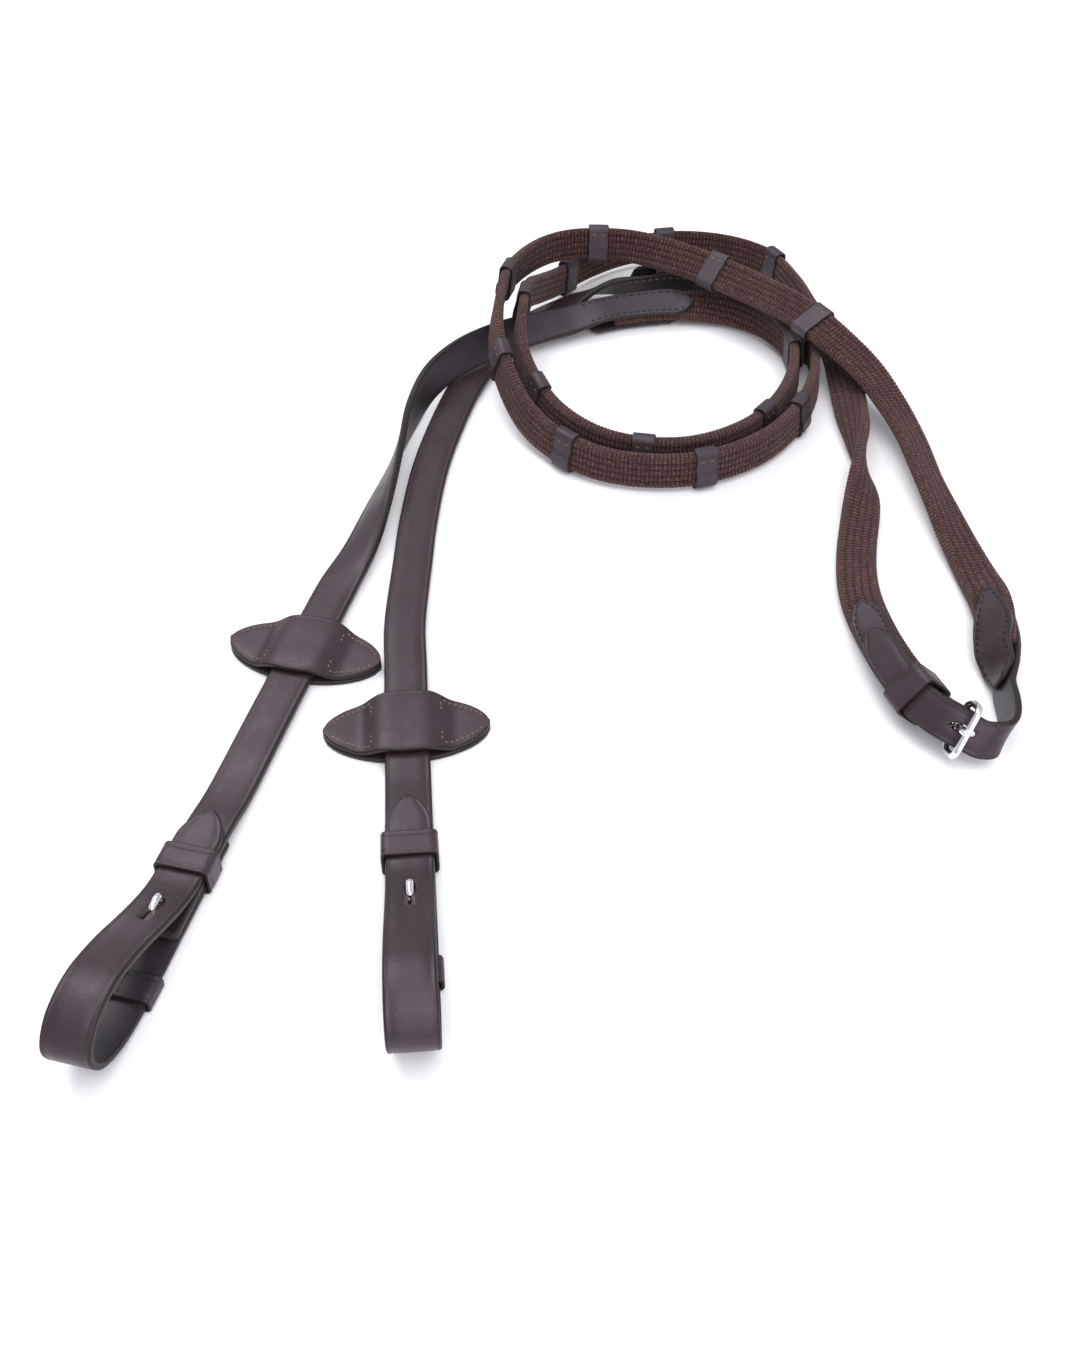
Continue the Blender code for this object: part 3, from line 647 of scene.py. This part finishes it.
def seams(strip, inset, start, end, face=1):
    """Stitch places a fixed inset from each edge of a strip, between two distances, on its face 1 or -1."""
    count = max(2, int((end - start) / STITCH_PITCH))
    line = strip.at(np.linspace(start, end, count))
    ahead = np.gradient(line.centre, axis=0)
    widening = np.gradient(line.half)
    rows = []
    for sign in (-1, 1):
        for i in range(count):
            across = line.across[i] * sign
            lift = line.normal[i] * face * (line.thick[i] + STITCH_LIFT)
            place = line.centre[i] + across * max(0.0, line.half[i] - inset) + lift
            rows.append((place, ahead[i] + across * widening[i], line.normal[i] * face))
    return rows


def corner_arc(hub_x, hub_z, radius, begin):
    """Six points of a quarter circle, from an angle in degrees."""
    turns = [math.radians(begin + 18 * k) for k in range(6)]
    return [(hub_x + radius * math.cos(turn), hub_z + radius * math.sin(turn)) for turn in turns]


def spaced(points, count, closed):
    """Points spaced evenly along an outline: their distances along it, and their x and z."""
    flat = np.array(points)
    along = np.concatenate([[0], np.cumsum(np.linalg.norm(np.diff(flat, axis=0), axis=1))])
    at = np.linspace(0, along[-1], count + 1)[:-1] if closed else np.linspace(0, along[-1], count)
    return at, np.interp(at, along, flat[:, 0]), np.interp(at, along, flat[:, 1])


def ring_strip(centre, wide, up, ahead, half_width, low, high, half_length, thick):
    """A strip that runs round a rounded rectangle in the plane square to ahead, its grain outside."""
    points = []
    for sx, sz, begin in ((1, 1, 0), (-1, 1, 90), (-1, -1, 180), (1, -1, 270)):
        hub_z = (high - KEEPER_CORNER) if sz > 0 else (low + KEEPER_CORNER)
        points += corner_arc(sx * (half_width - KEEPER_CORNER), hub_z, KEEPER_CORNER, begin)
    points.append(points[0])
    _, x, z = spaced(points, RING_SAMPLES, True)
    places = centre + np.outer(x, wide) + np.outer(z, up)
    run = unit(np.stack([np.roll(x, -1) - np.roll(x, 1), np.roll(z, -1) - np.roll(z, 1)], axis=-1))
    normal = np.outer(run[:, 1], wide) - np.outer(run[:, 0], up)
    across = np.tile(ahead, (RING_SAMPLES, 1))
    half = np.full(RING_SAMPLES, half_length)
    return Strip(places, across, normal, half, np.full(RING_SAMPLES, thick))


def reach_in(node, centre, axes):
    """How far the CAD node's points reach along each axis from the centre, as (low, high) pairs."""
    co = np.array([v.co for v in frame["nodes"][node].data.vertices]) - centre
    return [((co @ axis).min(), (co @ axis).max()) for axis in axes]


def keeper(node, strip, materials=LEATHER_SET):
    """A leather loop round a strip, from the outer size of its CAD node."""
    middle = box_middle(node)
    row = strip.nearest(middle)
    ahead = unit(np.gradient(strip.centre, axis=0)[row])
    wide = strip.across[row]
    up = np.cross(wide, ahead)
    up = up if up @ strip.normal[row] > 0 else -up
    (x0, x1), (z0, z1), (a0, a1) = reach_in(node, middle, (wide, up, ahead))
    centre = middle + wide * (x0 + x1) / 2 + ahead * (a0 + a1) / 2
    inset = KEEPER_THICK / 2
    ring = ring_strip(
        centre, wide, up, ahead, (x1 - x0) / 2 - inset, z0 + inset, z1 - inset, (a1 - a0) / 2, inset,
    )
    register(leather(node + "_look", ring, materials, crease=1.3, closed=True), node)


def keeper_seam(node, strip):
    """The row of stitches across a keeper's upper face, where its two ends meet."""
    middle = box_middle(node)
    row = strip.nearest(middle)
    wide = strip.across[row]
    ahead = unit(np.gradient(strip.centre, axis=0)[row])
    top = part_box(node)[1][2]
    rows = []
    for side in (-1, 1):
        for k in range(-2, 3):
            place = middle + wide * side * 1.6 * MM + ahead * k * 1.7 * MM
            place[2] = top
            rows.append((place, ahead, UP))
    register(stitches(node + "_seam", rows, BLACK_THREAD, 1.3 * MM, 0.3 * MM), node, False)


def hand_stop(node, strip):
    """A leather strip wrapped round the web, overlapping itself on one face, caught by stitches on both."""
    middle = box_middle(node)
    row = strip.nearest(middle)
    ahead = unit(np.gradient(strip.centre, axis=0)[row])
    wide = strip.across[row]
    up = strip.normal[row]
    wide = wide if wide[2] >= 0 else -wide
    centre = strip.centre[row]
    half_x = strip.half[row] + STOP_CLEAR
    half_z = strip.thick[row] + STOP_CLEAR
    lap = STOP_LAP + rng.uniform(-0.8, 0.8) * MM
    outline = [(-half_x * 0.25, half_z - 0.1 * MM), (-half_x + STOP_CORNER, half_z - 0.1 * MM)]
    for sx, sz, begin in ((-1, 1, 90), (-1, -1, 180), (1, -1, 270), (1, 1, 0)):
        outline += corner_arc(sx * (half_x - STOP_CORNER), sz * (half_z - STOP_CORNER), STOP_CORNER, begin)
    outline += [
        (0, half_z + 0.15 * MM), (-half_x * 0.2, half_z + 0.8 * MM), (-half_x * 0.2 - lap, half_z + 1.0 * MM),
    ]
    at, x, z = spaced(outline, STOP_SAMPLES, False)
    places = centre + np.outer(x, wide) + np.outer(z, up)
    run = unit(np.gradient(np.stack([x, z], axis=-1), axis=0))
    normal = np.outer(run[:, 1], wide) - np.outer(run[:, 0], up)
    outward = ((places - centre) * normal).sum()
    normal = normal if outward > 0 else -normal
    half = STOP_HALF + 0.12 * MM * np.sin(at * 900 + rng.uniform(0, 6))
    ring = Strip(places, np.tile(ahead, (len(at), 1)), normal, half, np.full(len(at), STOP_THICK))
    obj = leather(node + "_look", ring, STOP_SET, crease=0.6)
    register(obj, node)
    rows = []
    for side in (-1, 1):
        for offset in (-2.1, 2.1):
            place = centre + wide * half_x * 0.55 + ahead * offset * MM
            rows.append((place + up * side * (half_z + STOP_THICK), ahead, up * side))
    sewn = stitches(node + "_stitches", rows, TAN_THREAD, 1.9 * MM, 0.32 * MM)
    register(sewn, node, False)


def tube(name, path, radii, sides=18):
    """A round chrome wire along a path, with rounded ends when the radii close down."""
    ahead = unit(np.gradient(path, axis=0))
    # A little off the vertical, so that no part of the wire runs along it.
    across = unit(np.cross(ahead, UP + 0.013))
    normal = np.cross(across, ahead)
    strip = Strip(path, across, normal, radii, radii)
    turns = np.linspace(0, 2 * math.pi, sides + 1)[:-1]
    circle = np.stack([np.cos(turns), np.sin(turns)], axis=-1)
    sections = radii[:, None, None] * circle[None]
    return loft(name, strip, sections, [TOP_SIDE] * sides, (CHROME,))


def smooth_path(points, count):
    """A smooth path through points, by the strip's own cubic interpolation."""
    points = np.array(points)
    flat = np.ones(len(points))
    strip = Strip(points, np.tile(UP, (len(points), 1)), np.tile(UP, (len(points), 1)), flat, flat)
    return strip.at(np.linspace(0, strip.length, count)).centre


def smooth_copy(node):
    """The CAD node's own shape with its facets rounded off, for turned and bent metal."""
    work = welded(node)
    bmesh.ops.join_triangles(
        work, faces=work.faces[:], angle_face_threshold=math.radians(40),
        angle_shape_threshold=math.radians(60),
    )
    for face in work.faces:
        face.smooth = True
    mesh = bpy.data.meshes.new(node + "_look")
    work.to_mesh(mesh)
    work.free()
    obj = link(node + "_look", mesh, (CHROME,))
    modifier = obj.modifiers.new("round", "SUBSURF")
    modifier.levels = METAL_LEVELS
    modifier.render_levels = METAL_LEVELS
    register(obj, node)


def hook_stud(side, strap):
    """A plate on the strap and a bent wire hook that comes up through the billet's slot."""
    node = f"{side}_hook_stud"
    middle = box_middle(node)
    row = strap.nearest(middle)
    ahead = unit(np.gradient(strap.centre, axis=0)[row])
    ahead[2] = 0
    wide = np.cross(ahead, UP)
    (w0, w1), (a0, a1), (z0, z1) = reach_in(node, middle, (wide, ahead, UP))
    foot = middle + wide * (w0 + w1) / 2 + ahead * (a1 - HOOK_PLATE) + UP * z0
    rise = z1 - z0 - HOOK_WIRE
    path = smooth_path([
        foot + UP * 0.3 * MM, foot + UP * rise * 0.5, foot - ahead * 0.4 * MM + UP * rise * 0.82,
        foot - ahead * 1.9 * MM + UP * rise, foot - ahead * 4.4 * MM + UP * rise,
        foot - ahead * 7.4 * MM + UP * rise * 0.93,
    ], 40)
    radii = np.full(len(path), HOOK_WIRE)
    for k, share in enumerate((0.2, 0.62, 0.84, 0.95)):
        radii[-1 - k] = HOOK_WIRE * share
    register(tube(node + "_look", path, radii), node)
    base = bmesh.new()
    bmesh.ops.create_cone(
        base, cap_ends=True, segments=32, radius1=HOOK_PLATE, radius2=HOOK_PLATE * 0.9,
        depth=HOOK_PLATE_THICK,
    )
    bmesh.ops.translate(base, verts=base.verts[:], vec=Vector(foot + UP * HOOK_PLATE_THICK / 2))
    mesh = bpy.data.meshes.new(node + "_plate")
    base.to_mesh(mesh)
    base.free()
    washer = link(node + "_plate", mesh, (CHROME,))
    bevel = washer.modifiers.new("edge", "BEVEL")
    bevel.width = 0.25 * MM
    bevel.segments = 3
    register(washer, node, False)
    return foot, ahead, wide


def cut(obj, centre, axes, size, round_hole=False):
    """Cuts a slot or, if it is round, an oval hole, and lines it with raw leather."""
    work = bmesh.new()
    if round_hole:
        bmesh.ops.create_cone(work, cap_ends=True, segments=32, radius1=0.5, radius2=0.5, depth=1)
    else:
        bmesh.ops.create_cube(work, size=1)
    columns = np.stack([axis * length for axis, length in zip(axes, size)], axis=1)
    matrix = Matrix(columns.tolist()).to_4x4()
    matrix.translation = Vector(centre)
    bmesh.ops.transform(work, matrix=matrix, verts=work.verts[:])
    bmesh.ops.recalc_face_normals(work, faces=work.faces[:])
    for face in work.faces:
        face.material_index = CUT_SIDE
    mesh = bpy.data.meshes.new("cutter")
    work.to_mesh(mesh)
    work.free()
    if len(obj.data.materials) <= CUT_SIDE:
        obj.data.materials.append(RAW)
    for material in obj.data.materials:
        mesh.materials.append(material)
    cutter = bpy.data.objects.new("cutter", mesh)
    bpy.context.scene.collection.objects.link(cutter)
    modifier = obj.modifiers.new("cut", "BOOLEAN")
    modifier.operation = "DIFFERENCE"
    modifier.solver = "EXACT"
    modifier.object = cutter
    bpy.context.view_layer.update()
    graph = bpy.context.evaluated_depsgraph_get()
    done = bpy.data.meshes.new_from_object(obj.evaluated_get(graph))
    obj.modifiers.clear()
    obj.data = done
    bpy.data.objects.remove(cutter)


def cut_keyhole(obj, foot, ahead, wide):
    """An oval hole for the hook and a slit from it towards the loop."""
    axes = (wide, ahead, UP)
    high = foot + UP * 12.5 * MM
    cut(obj, high - ahead * 1.6 * MM, axes, HOOK_HOLE, True)
    cut(obj, high - ahead * 8.0 * MM, axes, HOOK_SLIT)


def outline_rows(strip, start, end):
    """Stitch places a fixed distance inside a lens's curved outline, on both edges of one wing."""
    rows = []
    fine = strip.at(np.linspace(start, end, 240))
    reach = np.maximum(fine.half - WING_INSET, 0)
    for sign in (-1, 1):
        line = fine.centre + fine.across * (reach * sign)[:, None] + fine.normal * fine.thick[:, None]
        gone = np.concatenate([[0], np.cumsum(np.linalg.norm(np.diff(line, axis=0), axis=1))])
        ahead = np.gradient(line, axis=0)
        for distance in np.arange(WING_PITCH / 2, gone[-1], WING_PITCH):
            k = int(np.searchsorted(gone, distance))
            rows.append((line[k], ahead[k], fine.normal[k]))
    return rows


def softened(strip):
    """A lens with the folds beside its saddle eased and its two tips rounded."""
    kernel = np.hanning(15)[1:-1]
    kernel = kernel / kernel.sum()

    def ease(values):
        return np.convolve(np.pad(values, len(kernel) // 2, mode="edge"), kernel, mode="valid")

    centre = strip.centre.copy()
    centre[:, 2] = ease(centre[:, 2])
    normal = np.cross(strip.across, np.gradient(centre, axis=0))
    normal = normal * np.sign((normal * strip.normal).sum(axis=1))[:, None]
    half = ease(strip.half)
    from_end = np.minimum(strip.along, strip.length - strip.along)
    half = half * np.sqrt(np.clip((from_end + 0.1 * MM) / (1.4 * MM), 0, 1))
    return Strip(centre, strip.across, normal, half, strip.thick)


def wing_stop(side):
    """Two leather lenses sewn together at the wings, the upper one bent over the strap."""
    layers = {}
    for layer in ("under", "over"):
        node = f"{side}_wing_stop_{layer}"
        strip = softened(facing(read_strip(node), UP).resampled(WING_STEP))
        register(leather(node + "_look", strip, crease=0.35, skive=False), node)
        layers[layer] = strip
    over = layers["over"]
    wing = over.length / 2 - SADDLE_HALF
    tip = 2.6 * MM
    rows = []
    for start, end in ((tip, wing), (over.length - wing, over.length - tip)):
        rows += outline_rows(over, start, end)
    for at in (wing, over.length - wing):
        line = over.at(np.array([at]))
        reach = line.half[0] - WING_INSET
        for sign in (-1, 1):
            for step in (1, 2):
                place = line.centre[0] + line.across[0] * sign * (reach - step * 2.3 * MM)
                rows.append((place + line.normal[0] * line.thick[0], line.across[0], line.normal[0]))
    obj = stitches(f"{side}_wing_stop_stitches", rows, TAN_THREAD, 1.5 * MM, 0.34 * MM, 0.25)
    register(obj, f"{side}_wing_stop_over", False)


def rein(side):
    """Everything on one side, from the bit end to the last hand stop. It returns the web's strip."""
    keeper_place = box_middle(f"{side}_billet_keeper")
    strap = facing(starting_at(read_strip(f"{side}_front_strap"), keeper_place), UP)
    smooth = strap.resampled(STRAP_STEP)
    register(leather(f"{side}_front_strap_look", smooth), f"{side}_front_strap")

    tip = smooth.centre[-1]
    band = starting_at(read_strip(f"{side}_web"), tip)
    band = facing(band, smooth.normal[smooth.nearest(band.centre[0])])
    woven = band.resampled(RIB_PITCH / ROWS_PER_RIB)
    register(web(f"{side}_web_look", woven), f"{side}_web")

    cover = read_strip(f"{side}_splice_cover")
    middle = cover.centre[len(cover.centre) // 2]
    row = woven.nearest(middle)
    cover = facing(cover, middle - woven.centre[row], 0.5).resampled(STRAP_STEP)
    register(leather(f"{side}_splice_cover_look", cover), f"{side}_splice_cover")
    thread = BLACK_THREAD if side == "left" else TAN_THREAD
    first, last = (smooth.length - back for back in SPLICE_SEAM)
    rows = seams(smooth, SPLICE_INSET, first, last, face=-1)
    register(stitches(f"{side}_splice_stitches", rows, thread), f"{side}_front_strap", False)
    rows = seams(cover, SPLICE_INSET, END_MARGIN, cover.length - END_MARGIN)
    register(stitches(f"{side}_cover_stitches", rows, TAN_THREAD), f"{side}_splice_cover", False)

    for i in range(1, STOPS_PER_REIN + 1):
        hand_stop(f"{side}_hand_stop_{i}", woven)
    wing_stop(side)

    billet = facing_out(read_strip(f"{side}_billet"))
    if billet.centre[0][2] > billet.centre[-1][2]:
        billet = billet.reversed()
    round_billet = billet.resampled(STRAP_STEP)
    loop = leather(f"{side}_billet_look", round_billet)
    foot, ahead, wide = hook_stud(side, smooth)
    cut_keyhole(loop, foot, ahead, wide)
    register(loop, f"{side}_billet")
    keeper(f"{side}_billet_keeper", smooth)
    lower = round_billet.resampled(2 * MM, *LOWER_KEEPER_RUN)
    keeper(f"{side}_lower_keeper", lower, materials=(FLESH, FLESH, EDGE))
    keeper_seam(f"{side}_lower_keeper", lower)
    return woven


def buckle_axes(chape):
    """The middle of the buckle's bar, the way from the chape to the frame, and the bar's direction."""
    hinge = next(j for j in frame["record"]["behaviour"]["joints"] if j["name"] == "tongue_hinge")
    bar = np.array(hinge["pos_m"])
    wide = unit(np.array(hinge["axis"]))
    ahead = bar - chape.centre.mean(axis=0)
    return bar, unit(ahead - wide * (ahead @ wide)), wide


def cut_point_hole(obj, strip, chape):
    """The long hole that the buckle's tongue passes through and turns in."""
    tongue = np.array([v.co for v in frame["nodes"]["buckle_tongue"].data.vertices])
    gaps = np.linalg.norm(strip.centre[:, None] - tongue[None], axis=2).min(axis=1)
    row = int(np.argmin(gaps))
    bar, ahead, _ = buckle_axes(chape)
    run = unit(np.gradient(strip.centre, axis=0)[row])
    middle = strip.centre[row] + run * ((bar + ahead * 2.4 * MM - strip.centre[row]) @ run)
    cut(obj, middle, (run, strip.across[row], strip.normal[row]), POINT_HOLE, True)


def cut_fold_slot(obj, chape):
    """The slot in the fold round the buckle's bar, for the tongue's ring."""
    bar, ahead, wide = buckle_axes(chape)
    axes = (ahead, wide, np.cross(ahead, wide))
    cut(obj, bar + ahead * 1.2 * MM, axes, FOLD_SLOT)


def buckle_end(left_web, right_web):
    """The chape, the point that closes the loop, and their keeper and buckle."""
    chape = facing_out(read_strip("left_chape")).resampled(STRAP_STEP)
    fold = leather("left_chape_look", chape)
    cut_fold_slot(fold, chape)
    register(fold, "left_chape")
    rows = seams(chape, CHAPE_INSET, *CHAPE_UNDER_SEAM)
    rows += seams(chape, CHAPE_INSET, *(chape.length - back for back in CHAPE_OVER_SEAM))
    register(stitches("left_chape_stitches", rows, BLACK_THREAD), "left_chape", False)

    point = facing_out(read_strip("right_point_strap", 80)).resampled(BUCKLE_END_STEP)
    through = leather("right_point_strap_look", point)
    cut_point_hole(through, point, chape)
    register(through, "right_point_strap")
    cover = read_strip("right_point_cover")
    middle = cover.centre[len(cover.centre) // 2]
    row = right_web.nearest(middle)
    cover = facing(cover, middle - right_web.centre[row], 0.5).resampled(BUCKLE_END_STEP)
    crown = np.sin(math.pi * cover.along / cover.length)
    cover.thick = cover.thick * (1 + 0.25 * crown)
    register(leather("right_point_cover_look", cover), "right_point_cover")
    rows = seams(cover, POINT_INSET, END_MARGIN, cover.length - END_MARGIN)
    register(stitches("right_point_stitches", rows, BLACK_THREAD), "right_point_cover", False)
    keeper("buckle_keeper", left_web)
    smooth_copy("buckle_frame")
    smooth_copy("buckle_tongue")


left_rein_web = rein("left")
right_rein_web = rein("right")
buckle_end(left_rein_web, right_rein_web)


# ---------------------------------------------------------------- floor, light and camera

def floor_material():
    nodes = Nodes("floor_white")
    place = place_of(nodes)
    soft = nodes.noise(place, 3.0, 2.0)
    colour = nodes.blend(soft, (0.925, 0.925, 0.94), (0.945, 0.945, 0.955))
    return nodes.finish(Base_Color=colour, Roughness=0.7, Specular_IOR_Level=0.2)


def add_floor():
    work = bmesh.new()
    bmesh.ops.create_grid(work, x_segments=1, y_segments=1, size=FLOOR_HALF)
    mesh = bpy.data.meshes.new("floor")
    work.to_mesh(mesh)
    work.free()
    floor = link("floor", mesh, (floor_material(),))
    floor.location.z = -FLOOR_DROP


def add_light(name, place, size, energy, colour, diffuse=1.0):
    """A round soft light aimed at the middle. A diffuse share of 0 leaves only its sheen."""
    lamp = bpy.data.lights.new(name, "AREA")
    lamp.shape = "DISK"
    lamp.diffuse_factor = diffuse
    lamp.size = size
    lamp.energy = energy
    lamp.color = colour
    obj = bpy.data.objects.new(name, lamp)
    obj.location = place
    obj.rotation_euler = (Vector((0, 0, 0)) - Vector(place)).to_track_quat("-Z", "Y").to_euler()
    bpy.context.scene.collection.objects.link(obj)


def add_camera():
    """In front of the bit ends, looking down at the coil."""
    camera = bpy.data.cameras.new("camera")
    camera.lens = CAMERA_LENS
    obj = bpy.data.objects.new("camera", camera)
    obj.location = CAMERA_PLACE
    obj.rotation_euler = (math.radians(90 - CAMERA_DOWN), 0, 0)
    bpy.context.scene.collection.objects.link(obj)
    bpy.context.scene.camera = obj


def add_world():
    world = bpy.data.worlds.new("studio")
    world.use_nodes = True
    background = world.node_tree.nodes["Background"]
    background.inputs["Color"].default_value = (0.93, 0.94, 1.0, 1)
    background.inputs["Strength"].default_value = 0.62
    bpy.context.scene.world = world


add_floor()
add_light("key", (-0.6, 0.75, 1.4), 1.0, 13.0, (1.0, 0.985, 0.98))
add_light("top", (0.15, -0.35, 1.6), 1.5, 14.0, (1.0, 1.0, 1.0))
add_light("front", (0.25, -1.0, 0.8), 1.2, 8.5, (1.0, 0.96, 1.0), 0.0)
add_world()
add_camera()
bpy.context.scene.view_settings.view_transform = "Standard"
